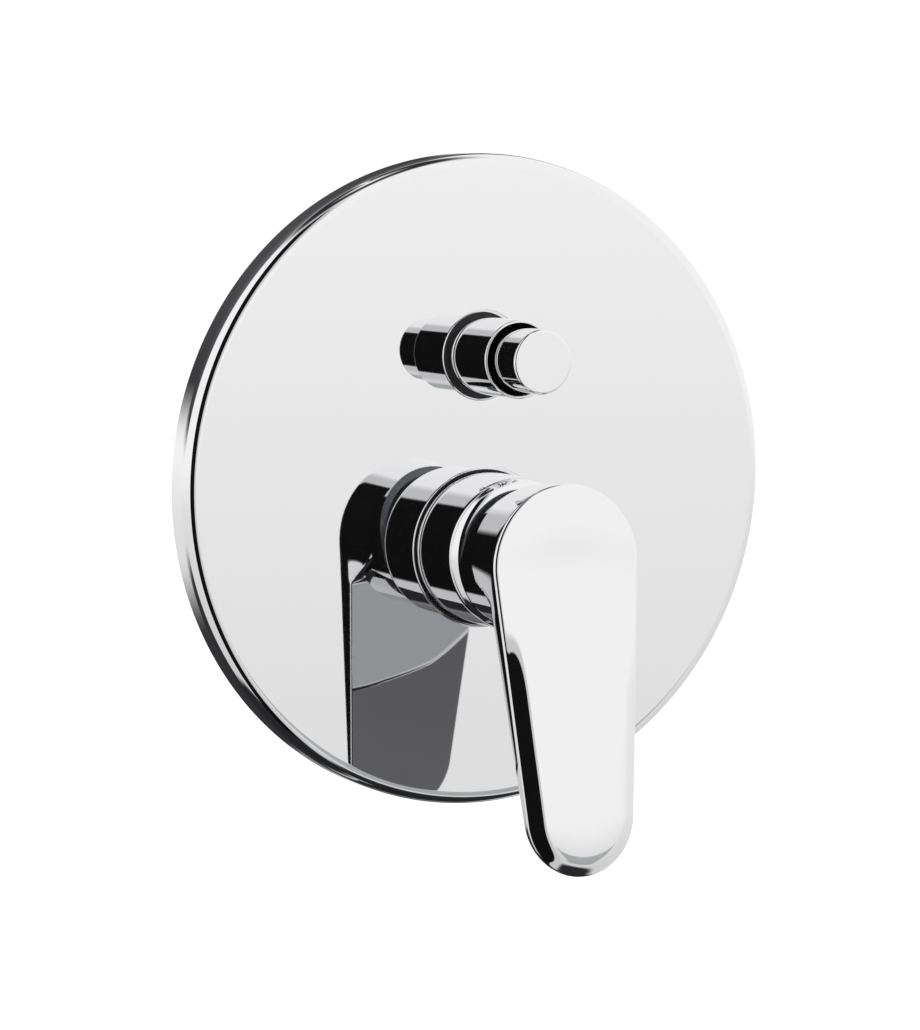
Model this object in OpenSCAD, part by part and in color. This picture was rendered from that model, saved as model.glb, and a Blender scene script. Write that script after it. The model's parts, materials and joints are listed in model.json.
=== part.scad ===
// Concealed single-lever shower mixer with a two-way diverter.
// Frame: +Z up, the cover faces -Y, the finished wall is the plane y = 0.
// The origin is where the lever's turning axis meets the wall.
// Inside on_axis() a shape is drawn with x to the right, y up and z out of the wall.

/* [Cover plate] */
// Outside diameter of the round cover plate
plate_d = 180; // [174:1:200]
// Depth of the plate from its rear edge to its face
plate_depth = 9; // [8:0.5:12]
// Outside radius of the plate's front edge
plate_edge_r = 3.7; // [2.5:0.1:5]
// Thickness of the pressed sheet
sheet = 1.5; // [1:0.1:1.8]
// Gap between the plate's rear edge and the wall, closed by the gasket
wall_gap = 0.5; // [0.2:0.1:1]
// Height of the plate's centre above the lever axis
plate_rise = 18.3; // [16:0.1:20]
// Rounding of the plate's two holes at the face
hole_edge_r = 1.1; // [0.6:0.1:1.3]

/* [Lever sleeve] */
// Outside diameter of the sleeve round the cartridge neck
sleeve_d = 42; // [41.6:0.1:43]
// Height of the sleeve above the plate's face
sleeve_h = 22; // [20:0.5:24]
// Rounding of the sleeve's front edge
sleeve_edge_r = 3.5; // [2:0.1:4]
// Wall thickness of the sleeve
sleeve_wall = 1; // [0.8:0.1:1.1]
// Gap round the sleeve in the plate's hole
sleeve_gap = 0.35; // [0.2:0.05:0.6]

/* [Lever] */
// Outside diameter of the lever's hub
hub_d = 39.8; // [38:0.2:41]
// Radius of the paddle's round head
head_r = 22; // [21:0.1:23]
// Radius of the paddle's round tip
tip_r = 16.4; // [12:0.1:18]
// Distance from the lever axis to the end of the tip
paddle_reach = 83.1; // [70:0.1:95]
// Height of the paddle's front edge above the plate's face, at the axis
paddle_h = 46.5; // [44:0.1:50]
// Lean of the shank away from the wall, in degrees
paddle_lean = 6.1; // [3:0.1:10]
// Thickness of the paddle at its edge
edge_t = 6.5; // [5:0.1:8]
// Rise of the head's crown over its edge
head_crown = 1.3; // [0.5:0.1:2]
// Height of the rolled edge along the shank
roll_h = 1.6; // [0.8:0.1:2]
// Lift of the lever from shut to full flow, in degrees
lift = 22; // [15:1:24]

/* [Diverter] */
// Height of the diverter axis above the lever axis
diverter_rise = 53; // [50:0.5:56]
// Outside diameter of the diverter's sleeve
tube_d = 21.4; // [21:0.1:22]
// Height of the diverter's sleeve above the plate's face
tube_h = 21; // [18:0.5:23]
// Wall thickness of the diverter's sleeve
tube_wall = 0.85; // [0.7:0.05:1]
// Gap round the diverter's sleeve in the plate's hole
tube_gap = 1; // [0.5:0.1:1.4]
// Diameter of the knob
knob_d = 17.5; // [16:0.1:18]
// Height of the knob's face above the plate's face
knob_h = 33.9; // [32:0.1:38]
// Rounding of the knob's front edge
knob_edge_r = 0.7; // [0.3:0.1:1.5]
// Pull of the knob from one outlet to the other
knob_travel = 9; // [8:0.5:10]

/* [Body in the wall] */
// Diameter of the cartridge chamber
chamber_d = 35.4; // [35.2:0.1:35.5]
// Outside diameter of the neck round the chamber
neck_d = 39.4; // [39.2:0.1:39.6]
// Distance of the neck's front end from the wall
neck_end = 24.5; // [23:0.5:25]
// Depth of the pipe centre line behind the wall
pipe_depth = 26; // [26:0.5:30]
// Distance of each inlet's end from the lever axis
inlet_reach = 52; // [48:1:60]
// Distance of the upper outlet's end from the diverter axis
top_reach = 36; // [34:1:45]
// Distance of the lower outlet's end from the lever axis
bottom_reach = 52; // [48:1:60]
// Outside diameter of the pipe sockets
socket_d = 27; // [26:0.5:30]
// Bore of the half-inch pipe sockets, before threading
socket_bore = 19; // [18.6:0.1:19]
// Depth of the pipe sockets
socket_deep = 14; // [12:1:16]
// Distance between the fixing lugs across the body
lug_gap_x = 60; // [56:1:70]
// Distance between the upper and the lower fixing lugs
lug_gap_z = 80; // [76:1:82]
// Bore of the fixing lugs
lug_bore = 5.5; // [5:0.1:6]

/* [Hidden] */
$fn = 96;

// Cuts run this far past the face they open
over = 1;
// Play between two metal parts that slide or turn
play = 0.1;

// Distances out of the wall
face = wall_gap + plate_depth;
sleeve_front = face + sleeve_h;
tube_front = face + tube_h;
knob_front = face + knob_h;

// Radii
plate_r = plate_d / 2;
sleeve_r = sleeve_d / 2;
hub_r = hub_d / 2;
tube_r = tube_d / 2;
knob_r = knob_d / 2;
neck_r = neck_d / 2;
chamber_r = chamber_d / 2;
tube_bore_r = tube_r - tube_wall;

// Cartridge, measured out of the wall from the chamber floor
chamber_floor = -8;
base_t = 4;
fixed_disc_t = 3.5;
moving_disc_t = 3;
disc_bottom = chamber_floor + base_t;
slide_plane = disc_bottom + fixed_disc_t;
carrier_bottom = slide_plane + moving_disc_t;
carrier_t = 6;
pivot_out = carrier_bottom + 15.5;
guide_bottom = carrier_bottom + carrier_t + 0.4;
guide_top = guide_bottom + 5.6;
disc_r = 12.8;
// Height of the shut disc's centre above the axis
disc_shift = 2.2;
// Half width of the slide between the guide's legs
carrier_half = 8.3;
// Lapped gap between the two ceramic discs
lap = 0.05;
shoulder_out = neck_end - 6;
collar_out = neck_end + 3.5;
housing_r = chamber_r - 0.3;
housing_wall = 1.8;
collar_r = 13.4;
guide_neck_r = 9.9;
pin_r = 1.5;
ball_r = 3;
ball_out = carrier_bottom + 3.4;
stem_side = 8;
square_start = collar_out + 2.5;
stem_end = face + 37;
nut_thread_r = 18.5;

// Lever
hub_clear = 0.4;
hub_rear = sleeve_front + hub_clear;
hub_bore_r = hub_r - 1.9;
hub_bore_end = face + 35;
paddle_front = face + paddle_h;
screw_out = face + 30;
screw_r = 2.5;
plug_r = 3.5;
plug_t = 1.3;
// The head's centre sits this far below the lever axis
head_drop = 0.75;
// Length over which the flat head passes into the leaning shank
lean_blend = 5;
// Draft of the paddle's edge, wider at the front
edge_draft = 25;
// The front rounding is elliptic: wide in the face, shallow toward the wall
front_edge_w = 1.5;
front_edge_t = 0.9;
rear_edge_r = 1.8;
// Exponent of the soft dome, and width of the rolled edge
dome_power = 3;
roll_w = 3.4;
// The hub's flare leaves the hub at this angle, and its cone runs this far into the hub
flare_in = 6;
flare_cone = 3;
// The end of the flare's arc lies this far under the hub's surface, so the two cross cleanly
flare_sink = 0.17;
// Over this length below the axis the flare gives way to the paddle's own back
flare_fade = 14;
// The round hub ends inside the head, this far behind the front edge
hub_inset = 2.5;
// Radius of the boss round the stem socket, and play of the socket
boss_r = 9;
// Points on the head, on a long side and on the tip, for half of the outline
head_n = 18;
side_n = 16;
tip_n = 16;

// Body
mouth_out = 2;
passage_r = 6.5;
diverter_bore_r = 9.6;
head_t = 4;
diverter_floor = -(pipe_depth + passage_r + knob_travel + head_t / 2 + 1.2);
mixed_depth = pipe_depth + 13;
bypass_depth = pipe_depth + 24;
mixed_r = 4.5;
bypass_r = 5;
bypass_wall = 3;
bonnet_r = 10.5;
bonnet_deep = 10;
washer_t = 0.8;
hex_t = 2.6;
hex_across = 24;
bonnet_neck_r = 9;
bonnet_end = 20;
spindle_r = 4;
spindle_end = knob_front - 10.5;
head_ring_out = diverter_floor + 0.3 + head_t / 2;
stem_ring_out = mouth_out - bonnet_deep / 2;
tube_ring_out = bonnet_end - 5;
// Ports through the chamber floor: hot, cold and mixed
inlet_port_r = 2.6;
mixed_port_r = 3.2;
inlet_port = [5.2, -5.6];
mixed_port = [0, 7.1];
// Half thickness of the web between the hot and the cold inlet
inlet_web = 5;
PORTS = [[-inlet_port[0], inlet_port[1], inlet_port_r], [inlet_port[0], inlet_port[1], inlet_port_r],
    [mixed_port[0], mixed_port[1], mixed_port_r]];
seal_section = 1.6;
o_ring_out = face + 3;
lug_t = 5;
lug_r = 6.5;
neck_groove = 1;

// Draws children about the axis that leaves the wall at height rise
module on_axis(rise = 0) translate([0, 0, rise]) rotate([90, 0, 0]) children();

// Ring or tube between two distances from the wall
module tube_between(r_out, r_in, from, to) translate([0, 0, from]) difference() {
    cylinder(r = r_out, h = to - from);
    if (r_in > 0) translate([0, 0, -over]) cylinder(r = r_in, h = to - from + 2 * over);
}

// Solid cylinder between two distances from the wall
module rod_between(r, from, to) translate([0, 0, from]) cylinder(r = r, h = to - from);

// Rubber ring of round section squeezed between an inner and an outer radius
module o_ring(r_in, r_out, mid) {
    section = r_out - r_in;
    translate([0, 0, mid]) rotate_extrude() translate([r_in + section / 2, 0]) circle(d = section, $fn = 32);
}

// Rectangle from one corner to the opposite one
module box2(x0, y0, x1, y1) translate([x0, y0]) square([x1 - x0, y1 - y0]);

// Profile of a bar with its outer front corner rounded
module rounded_front(r_in, r_out, from, to, edge) {
    box2(r_in, from, r_out, to - edge);
    box2(r_in, to - edge - 0.01, r_out - edge, to);
    intersection() {
        translate([r_out - edge, to - edge]) circle(r = edge);
        box2(r_out - edge, to - edge, r_out, to);
    }
}

// Hole through the plate's sheet with its front edge rounded
module rounded_hole(r) {
    rod_between(r, -over, face + over);
    rotate_extrude() difference() {
        box2(0, face - hole_edge_r, r + hole_edge_r, face + over);
        translate([r + hole_edge_r, face - hole_edge_r]) circle(r = hole_edge_r);
    }
}

// Pressed cover plate with a turned-back rim
module cover_plate() color("gainsboro") difference() {
    on_axis(plate_rise) rotate_extrude($fn = 180) difference() {
        rounded_front(0, plate_r, wall_gap, face, plate_edge_r);
        rounded_front(-over, plate_r - sheet, wall_gap - over, face - sheet, plate_edge_r - sheet);
    }
    on_axis() rounded_hole(sleeve_r + sleeve_gap);
    on_axis(diverter_rise) rounded_hole(tube_r + tube_gap);
}

// Foam ring that seals the rim to the wall
module wall_gasket() color("dimgray") on_axis(plate_rise)
    tube_between(plate_r - sheet, plate_r - sheet - 4, 0, 4);

// Rubber ring that closes the gap round a sleeve, seated behind the sheet
module hole_seal(r_in, gap) {
    lip = hole_edge_r + 0.2;
    tube_between(r_in + gap + 2.5, r_in, face - sheet - 2.2, face - sheet);
    tube_between(r_in + gap, r_in, face - sheet - over, face - lip);
}

module sleeve_hole_seal() color("black") on_axis() hole_seal(sleeve_r, sleeve_gap);

module diverter_hole_seal() color("black") on_axis(diverter_rise) hole_seal(tube_r, tube_gap);

// Sleeve that slides over the cartridge neck, with a turned-in front
module lever_sleeve() color("gainsboro") on_axis() rotate_extrude() difference() {
    rounded_front(0, sleeve_r, wall_gap + 2, sleeve_front, sleeve_edge_r);
    rounded_front(-over, sleeve_r - sleeve_wall, -over, sleeve_front - sleeve_wall, sleeve_edge_r - sleeve_wall);
    box2(-over, 0, collar_r + 1.6, sleeve_front + over);
}

// Rubber ring in the neck's groove that grips the sleeve
module neck_o_ring() color("black") on_axis() o_ring(neck_r - neck_groove, sleeve_r - sleeve_wall, o_ring_out);

// Pipe stub along +Z that ends in a half-inch socket at the given distance
module pipe_boss(reach) {
    cylinder(r = passage_r + 3.5, h = reach);
    translate([0, 0, reach - socket_deep - 3]) cylinder(d = socket_d, h = socket_deep + 3);
}

// Threaded bore of a pipe socket and the passage behind it
module socket_cut(reach, passage_from) {
    translate([0, 0, reach - socket_deep]) cylinder(d = socket_bore, h = socket_deep + over);
    translate([0, 0, passage_from]) cylinder(r = passage_r, h = reach - passage_from);
}

// Turns +Z to the given side and moves to the pipe centre line
module toward_x(side) translate([0, pipe_depth, 0]) rotate([0, side * 90, 0]) children();
module toward_z(side) translate([0, pipe_depth, 0]) rotate([side > 0 ? 0 : 180, 0, 0]) children();

// Ear with a rib to the body, for a wall screw
module fixing_lug(x, z) {
    on_axis(z) translate([x, 0, -pipe_depth - lug_t / 2]) {
        cylinder(r = lug_r, h = lug_t);
        translate([x > 0 ? -abs(x) + 4 : 0, -lug_r, 0]) cube([abs(x) - 4, 2 * lug_r, lug_t]);
    }
}

// Pipe behind the casting from the diverter's seat down to the lower outlet
module bypass_pipe(r, end_r) {
    elbow_z = socket_deep + 4 - bottom_reach;
    translate([0, bypass_depth, elbow_z]) cylinder(r = r, h = diverter_rise - elbow_z);
    translate([0, pipe_depth, elbow_z]) rotate([-90, 0, 0]) cylinder(r = r, h = bypass_depth - pipe_depth);
    translate([0, bypass_depth, elbow_z]) sphere(r = end_r);
}

// Passage from the chamber's mixed port up to the diverter chamber
module mixed_pipe() translate([0, mixed_depth, mixed_port[1]])
    cylinder(r = mixed_r, h = diverter_rise - mixed_port[1]);

// Brass casting in the wall: cartridge chamber, diverter chamber and pipe sockets
module valve_body() color("darkgoldenrod") difference() {
    union() {
        on_axis() rod_between(neck_r, -12, neck_end);
        on_axis() rod_between(neck_r + 3, -mixed_depth - mixed_r - 4, -6);
        on_axis(diverter_rise) rod_between(socket_d / 2, -bypass_depth - bypass_r - bypass_wall, mouth_out);
        translate([0, mixed_depth, 0]) cylinder(r = mixed_r + 4, h = diverter_rise);
        for (side = [-1, 1]) toward_x(side) pipe_boss(inlet_reach);
        toward_z(1) pipe_boss(diverter_rise + top_reach);
        toward_z(-1) pipe_boss(bottom_reach);
        bypass_pipe(bypass_r + bypass_wall, bypass_r + bypass_wall);
        for (x = [-1, 1], z = [0, 1]) fixing_lug(x * lug_gap_x / 2, diverter_rise - z * lug_gap_z);
    }
    on_axis() rod_between(chamber_r, chamber_floor, neck_end + over);
    on_axis() rod_between(nut_thread_r, shoulder_out - 1.5, neck_end + over);
    on_axis() tube_between(neck_r + over, neck_r - neck_groove, o_ring_out - 1, o_ring_out + 1);
    on_axis(diverter_rise) rod_between(diverter_bore_r, diverter_floor, mouth_out);
    on_axis(diverter_rise) rod_between(bonnet_r, mouth_out - bonnet_deep, mouth_out + over);
    on_axis(diverter_rise) rod_between(bypass_r, -bypass_depth, 0);
    for (side = [-1, 1]) toward_x(side) socket_cut(inlet_reach, inlet_web);
    for (side = [-1, 1]) on_axis(inlet_port[1]) translate([side * inlet_port[0], 0, -pipe_depth])
        cylinder(r = inlet_port_r, h = pipe_depth);
    on_axis(mixed_port[1]) rod_between(mixed_port_r, -mixed_depth - mixed_r, 0);
    toward_z(1) socket_cut(diverter_rise + top_reach, diverter_rise);
    toward_z(-1) socket_cut(bottom_reach, bottom_reach - socket_deep - 8);
    mixed_pipe();
    bypass_pipe(bypass_r, bypass_r);
    for (x = [-1, 1], z = [0, 1]) on_axis(diverter_rise - z * lug_gap_z)
        translate([x * lug_gap_x / 2, 0, -pipe_depth - lug_t]) cylinder(d = lug_bore, h = 2 * lug_t);
}

// Base of the cartridge, with a seal groove round each port
module cartridge_base() color("white") on_axis() difference() {
    rod_between(housing_r, chamber_floor, disc_bottom);
    for (port = PORTS) translate([port[0], port[1], 0]) {
        rod_between(port[2], chamber_floor - over, disc_bottom + over);
        tube_between(port[2] + 0.7 + seal_section, port[2] + 0.7, chamber_floor - over, chamber_floor + seal_section);
    }
}

// Rubber rings between the cartridge base and the chamber floor
module base_seals() color("black") on_axis() for (port = PORTS) translate([port[0], port[1], 0])
    o_ring(port[2] + 0.7, port[2] + 0.7 + seal_section, chamber_floor + seal_section / 2);

// Ceramic disc that stays with the base
module fixed_disc() color("ivory") on_axis() difference() {
    rod_between(housing_r - housing_wall - 0.1, disc_bottom, slide_plane);
    for (port = PORTS) translate([port[0], port[1], 0])
        rod_between(port[2], disc_bottom - over, slide_plane + over);
}

// Ceramic disc that slides and turns, with a mixing pocket in its lower face
module moving_disc() color("ivory") on_axis() difference() {
    translate([0, disc_shift, 0]) rod_between(disc_r, slide_plane + lap, carrier_bottom);
    translate([0, 3.2, 0]) rod_between(5.6, slide_plane - over, slide_plane + 2);
    translate([0, mixed_port[1], 0]) rod_between(4, slide_plane - over, slide_plane + 2);
}

// Plastic slide that carries the moving disc and takes the stem's ball
module disc_carrier() color("whitesmoke") on_axis() difference() {
    translate([0, disc_shift, 0]) rod_between(disc_r, carrier_bottom, carrier_bottom + carrier_t);
    for (side = [-1, 1]) translate([side * (carrier_half + disc_r), 0, carrier_bottom + carrier_t / 2])
        cube([2 * disc_r, 4 * disc_r, carrier_t + 2 * over], center = true);
    rod_between(ball_r + 0.3, carrier_bottom - over, carrier_bottom + carrier_t + over);
    translate([0, 0, ball_out]) cylinder(r1 = ball_r, r2 = ball_r + 2.2, h = carrier_bottom + carrier_t - ball_out + 0.01);
}

// Plastic housing of the cartridge
module cartridge_housing() color("white") on_axis() difference() {
    union() {
        rod_between(housing_r, disc_bottom, shoulder_out);
        rod_between(collar_r, shoulder_out - over, collar_out);
    }
    rod_between(housing_r - housing_wall, disc_bottom - over, guide_top + 0.3);
    rod_between(guide_neck_r + 0.3, disc_bottom, collar_out + over);
}

// Turning guide of the stem: its legs turn the slide, its neck carries the pivot
module stem_guide() color("lightgray") on_axis() difference() {
    union() {
        rod_between(housing_r - housing_wall - 0.3, carrier_bottom + 0.4, guide_top);
        rod_between(guide_neck_r, guide_bottom, collar_out - 0.5);
    }
    translate([0, 0, carrier_bottom]) cube([2 * carrier_half + 0.6, 4 * disc_r, 2 * (guide_bottom - carrier_bottom)], center = true);
    stem_slot(-7.4, 3.8, carrier_bottom, pivot_out);
    stem_slot(-4, 9.5, pivot_out - 4, collar_out + over);
    translate([0, 0, pivot_out]) rotate([0, 90, 0]) cylinder(r = pin_r, h = 3 * guide_neck_r, center = true);
}

// Slot for the stem between two heights and two distances from the wall
module stem_slot(y0, y1, from, to) translate([-3.4, y0, from]) cube([6.8, y1 - y0, to - from]);

// Steel pin on which the stem tilts
module pivot_pin() color("silver") on_axis() translate([0, 0, pivot_out]) rotate([0, 90, 0])
    cylinder(r = pin_r, h = 2 * guide_neck_r - 1.4, center = true);

// Steel stem: ball below the pivot, square end for the lever
module cartridge_stem() color("silver") on_axis() difference() {
    union() {
        translate([0, 0, ball_out]) sphere(r = ball_r);
        rod_between(1.8, ball_out, pivot_out - 3);
        rod_between(3.2, pivot_out - 3.4, square_start + 0.5);
        translate([-stem_side / 2, -stem_side / 2, square_start])
            cube([stem_side, stem_side, stem_end - square_start]);
    }
    translate([0, 0, pivot_out]) rotate([0, 90, 0]) cylinder(r = pin_r + play, h = 2 * guide_neck_r, center = true);
}

// Brass ring nut that holds the cartridge in the neck
module cartridge_nut() color("goldenrod") on_axis() difference() {
    union() {
        rod_between(nut_thread_r, shoulder_out, neck_end);
        rod_between(nut_thread_r - 1.6, neck_end - over, neck_end + 1.6);
    }
    rod_between(collar_r + play, shoulder_out - over, neck_end + 3);
    for (a = [0:60:300]) rotate(a) translate([nut_thread_r - 2.4, -2, neck_end + 0.1]) cube([4, 4, 3]);
}

// The paddle, lofted from its outline
// Half of the outline runs from the top of the head down the left side to the end of the tip.
// Each point is [x, z, spine z]: the rings shrink from the outline toward the spine.
tip_z = tip_r - paddle_reach;
taper = asin((head_r - tip_r) / (-tip_z - head_drop));

function arc_point(r, mid_z, a) = [r * cos(a), mid_z + r * sin(a), mid_z];
function head_point(t) = arc_point(head_r, -head_drop, 90 + t * (90 + taper));
function tip_point(t) = arc_point(tip_r, tip_z, 180 + taper + t * (90 - taper));
function side_point(t) = head_point(1) + t * (tip_point(0) - head_point(1));

half_outline = [
    for (i = [0:head_n - 1]) head_point(i / head_n),
    for (i = [0:side_n - 1]) side_point(i / side_n),
    for (i = [0:tip_n]) tip_point(i / tip_n)
];
half_n = head_n + side_n + tip_n;
ring_n = 2 * half_n;

// Distance of the paddle's front edge from the wall at height z
function edge_out(z) = paddle_front
    + tan(paddle_lean) * (sqrt(z * z + lean_blend * lean_blend) - z - lean_blend) / 2;

// Height of the rolled edge at height z: none on the head, full on the shank
function roll_at(z) = let(t = max(0, min(1, (-z - 12) / 22))) roll_h * t * t * (3 - 2 * t);
// Drop of the face across the rolled edge, from 0 at its inner border to 1 at the outline
function roll_drop(d) = let(v = max(0, 1 - d / roll_w)) v * v * (2 - v);
// Rise of the face over its edge at an inward distance
function face_rise(z, half_w, d) = head_crown * (1 - pow(1 - d / half_w, dome_power))
    + roll_at(z) * (1 - roll_drop(d));
// Slope of the face where the front rounding begins
function edge_slope(z, half_w) = atan(head_crown * dome_power / half_w + roll_at(z) / roll_w);
// Where the rounding starts and ends, as angles of its ellipse
function round_start(z, half_w) = atan(tan(edge_slope(z, half_w)) * front_edge_w / front_edge_t);
round_end = 90 + atan(tan(edge_draft) * front_edge_t / front_edge_w);

// Section of the paddle as [inward distance, rise over the front edge] at a point of the outline
dome_steps = [0.04, 0.25, 0.45, 0.65];
roll_steps = [1, 0.8, 0.6, 0.45, 0.3, 0.15];
round_steps = [0:0.2:1];
function front_face(z, half_w) = let(
        start = front_edge_w * (1 - sin(round_start(z, half_w))),
        w = half_w - start
    ) [
        for (u = dome_steps) [start + (1 - u) * w, face_rise(z, w, (1 - u) * w)],
        for (t = roll_steps) [start + t * roll_w, face_rise(z, w, t * roll_w)]
    ];
function front_round(z, half_w) = let(a0 = round_start(z, half_w)) [
    for (s = round_steps) let(a = a0 + s * (round_end - a0))
        [front_edge_w * (1 - sin(a)), front_edge_t * (cos(a) - cos(a0))]
];

// Rear of the section along the shank: drafted edge, rounding, flat back
function shank_rear(front_end, half_w) = let(
        drop = front_end[1] + edge_t - rear_edge_r * (1 - sin(edge_draft)),
        mid = front_end[0] + drop * tan(edge_draft) + rear_edge_r * cos(edge_draft)
    ) [
        for (s = round_steps) let(a = 90 + edge_draft + s * (90 - edge_draft))
            [mid - rear_edge_r * sin(a), rear_edge_r * (1 + cos(a)) - edge_t],
        [half_w * 0.6, -edge_t],
        [half_w * 0.96, -edge_t]
    ];
// Inward distance from a point of the outline to the end of the flare, just under the hub's surface
function hub_depth(outline, half_w) = let(
        up = (outline[1] - outline[2]) / half_w,
        mid_z = outline[2]
    ) flare_sink + half_w + mid_z * up - sqrt(hub_r * hub_r - mid_z * mid_z * (1 - up * up));
// Rear of the section on the head: the flare's arc, then a cone that ends inside the hub
function head_rear(front_end, inward, half_w) = let(
        r = (inward - front_end[0]) / (cos(flare_in) - cos(edge_draft)),
        arc_end = front_end[1] - r * (sin(edge_draft) - sin(flare_in)),
        cone_end = arc_end - flare_cone
    ) [
        for (s = [0.2:0.2:1]) let(a = edge_draft + s * (flare_in - edge_draft))
            [front_end[0] + r * (cos(a) - cos(edge_draft)), front_end[1] - r * (sin(edge_draft) - sin(a))],
        [inward + flare_cone * tan(flare_in), cone_end],
        [half_w * 0.6, cone_end],
        [half_w * 0.96, cone_end]
    ];
// Share of the flare at height z: full above the axis, none below its fade
function flare_share(z) = let(t = max(0, min(1, 1 + z / flare_fade))) t * t * (3 - 2 * t);
function section(outline, half_w) = let(
        z = outline[1],
        front = front_round(z, half_w),
        front_end = front[len(front) - 1],
        shank = shank_rear(front_end, half_w),
        share = flare_share(z),
        head = share > 0 ? head_rear(front_end, hub_depth(outline, half_w), half_w) : shank
    ) [
        each front_face(z, half_w), each front,
        for (k = [0:len(shank) - 1]) shank[k] + share * (head[k] - shank[k])
    ];

// Ring k of the loft, a full turn round the paddle
function paddle_point(outline, k, side) = let(
        half_w = norm([outline[0], outline[1] - outline[2]]),
        step = section(outline, half_w)[k],
        u = 1 - step[0] / half_w,
        x = outline[0] * u,
        z = outline[2] + (outline[1] - outline[2]) * u
    ) [side * x, -edge_out(z) - step[1], z];
ring_count = len(section(half_outline[0], head_r));
paddle_points = [
    for (k = [0:ring_count - 1]) each [
        for (i = [0:half_n]) paddle_point(half_outline[i], k, 1),
        for (i = [half_n - 1:-1:1]) paddle_point(half_outline[i], k, -1)
    ]
];

// Triangles between two neighbouring rings of n points
function wall_faces(k, n) = [
    for (i = [0:n - 1]) let(a = k * n + i, b = k * n + (i + 1) % n)
        each [[a, b, a + n], [b, b + n, a + n]]
];
// Triangles across ring k, from the left side to the right
function cap_faces(k, flip) = let(base = k * ring_n) [
    for (i = [0:half_n - 1]) let(
            a = base + i,
            b = base + i + 1,
            c = base + (ring_n - i - 1) % ring_n,
            d = base + (ring_n - i) % ring_n
        ) each [
            if (c != b) (flip ? [a, c, b] : [a, b, c]),
            if (d != a) (flip ? [a, d, c] : [a, c, d])
        ]
];
paddle_faces = [
    for (k = [0:ring_count - 2]) each wall_faces(k, ring_n),
    each cap_faces(0, true),
    each cap_faces(ring_count - 1, false)
];

// Paddle of the lever: crowned face, drafted edge, flat back, and the flare of its head
module paddle() polyhedron(paddle_points, paddle_faces);

// Half space that frees the hub's upper rear while the lever lifts
module lift_relief() translate([0, 0, pivot_out]) rotate([lift, 0, 0])
    translate([-2 * hub_r, -hub_r, hub_rear - pivot_out - 3 * hub_r]) cube([4 * hub_r, 4 * hub_r, 3 * hub_r]);

// One-piece lever: hub, stem boss and paddle
module lever() color("gainsboro") difference() {
    union() {
        paddle();
        on_axis() rod_between(hub_r, hub_rear, paddle_front - hub_inset);
    }
    on_axis() difference() {
        rod_between(hub_bore_r, hub_rear - over, hub_bore_end);
        rod_between(boss_r, hub_rear - 2 * over, hub_bore_end + over);
    }
    on_axis() rod_between(boss_r + over, hub_rear - over, hub_rear + 2);
    on_axis() lift_relief();
    on_axis() translate([-stem_side / 2, -stem_side / 2, hub_rear - over])
        cube([stem_side, stem_side, stem_end - hub_rear + over]);
    on_axis() translate([0, 0, screw_out]) rotate([90, 0, 0]) {
        cylinder(r = screw_r, h = hub_r);
        translate([0, 0, boss_r]) cylinder(r = screw_r + 0.4, h = hub_r);
        translate([0, 0, hub_r - plug_t]) cylinder(r = plug_r, h = plug_t + over);
    }
}

// Grub screw that clamps the lever to the stem
module lever_grub_screw() color("dimgray") on_axis() translate([0, 0, screw_out]) rotate([90, 0, 0])
    translate([0, 0, stem_side / 2]) difference() {
        cylinder(r = screw_r, h = 5);
        translate([0, 0, 2.6]) cylinder(r = 1.45, h = 3, $fn = 6);
    }

// Red and blue plug that hides the grub screw
module index_plug() color("firebrick") on_axis() intersection() {
    translate([0, 0, screw_out]) rotate([90, 0, 0]) translate([0, 0, hub_r - plug_t]) cylinder(r = plug_r, h = 2);
    rod_between(hub_r, screw_out - plug_r - over, screw_out + plug_r + over);
}

// Brass bonnet screwed into the diverter chamber, with a neck for the sleeve
module diverter_bonnet() color("goldenrod") on_axis(diverter_rise) difference() {
    union() {
        rod_between(bonnet_r, mouth_out - bonnet_deep, mouth_out + washer_t);
        translate([0, 0, mouth_out + washer_t]) cylinder(d = hex_across / cos(30), h = hex_t, $fn = 6);
        rod_between(bonnet_neck_r, mouth_out, bonnet_end);
    }
    rod_between(spindle_r + play, mouth_out - bonnet_deep - over, bonnet_end + over);
    tube_between(bonnet_neck_r + over, tube_bore_r - seal_section - 0.1, tube_ring_out - 1, tube_ring_out + 1);
    tube_between(spindle_r + seal_section, spindle_r, stem_ring_out - 1, stem_ring_out + 1);
}

// Washer between the bonnet's hexagon and the body
module bonnet_washer() color("saddlebrown") on_axis(diverter_rise)
    tube_between(bonnet_r + 1.5, bonnet_r, mouth_out, mouth_out + washer_t);

// Spindle of the diverter, with the grooved head that shuts either way
module diverter_spindle() color("goldenrod") on_axis(diverter_rise) difference() {
    union() {
        rod_between(diverter_bore_r - 0.4, diverter_floor + 0.3, diverter_floor + 0.3 + head_t);
        rod_between(spindle_r, diverter_floor + 0.3, spindle_end);
    }
    tube_between(diverter_bore_r, diverter_bore_r - 0.1 - seal_section,
        head_ring_out - seal_section / 2, head_ring_out + seal_section / 2);
}

// Rubber ring on the spindle's head
module spindle_seals() color("black") on_axis(diverter_rise)
    o_ring(diverter_bore_r - 0.1 - seal_section, diverter_bore_r - 0.1, head_ring_out);

// Rubber ring in the bonnet round the spindle
module stem_o_ring() color("black") on_axis(diverter_rise)
    o_ring(spindle_r + play / 2, spindle_r + seal_section, stem_ring_out);

// Rubber ring that grips the diverter's sleeve
module tube_o_ring() color("black") on_axis(diverter_rise)
    o_ring(tube_bore_r - seal_section - 0.1, tube_bore_r, tube_ring_out);

// Thin sleeve with a rounded lip round the knob
module diverter_sleeve() color("gainsboro") on_axis(diverter_rise) rotate_extrude() {
    lip_r = tube_wall / 2;
    box2(tube_bore_r, mouth_out + washer_t + hex_t + 0.4, tube_r, tube_front - lip_r);
    translate([tube_bore_r + lip_r, tube_front - lip_r]) circle(r = lip_r, $fn = 32);
}

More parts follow.
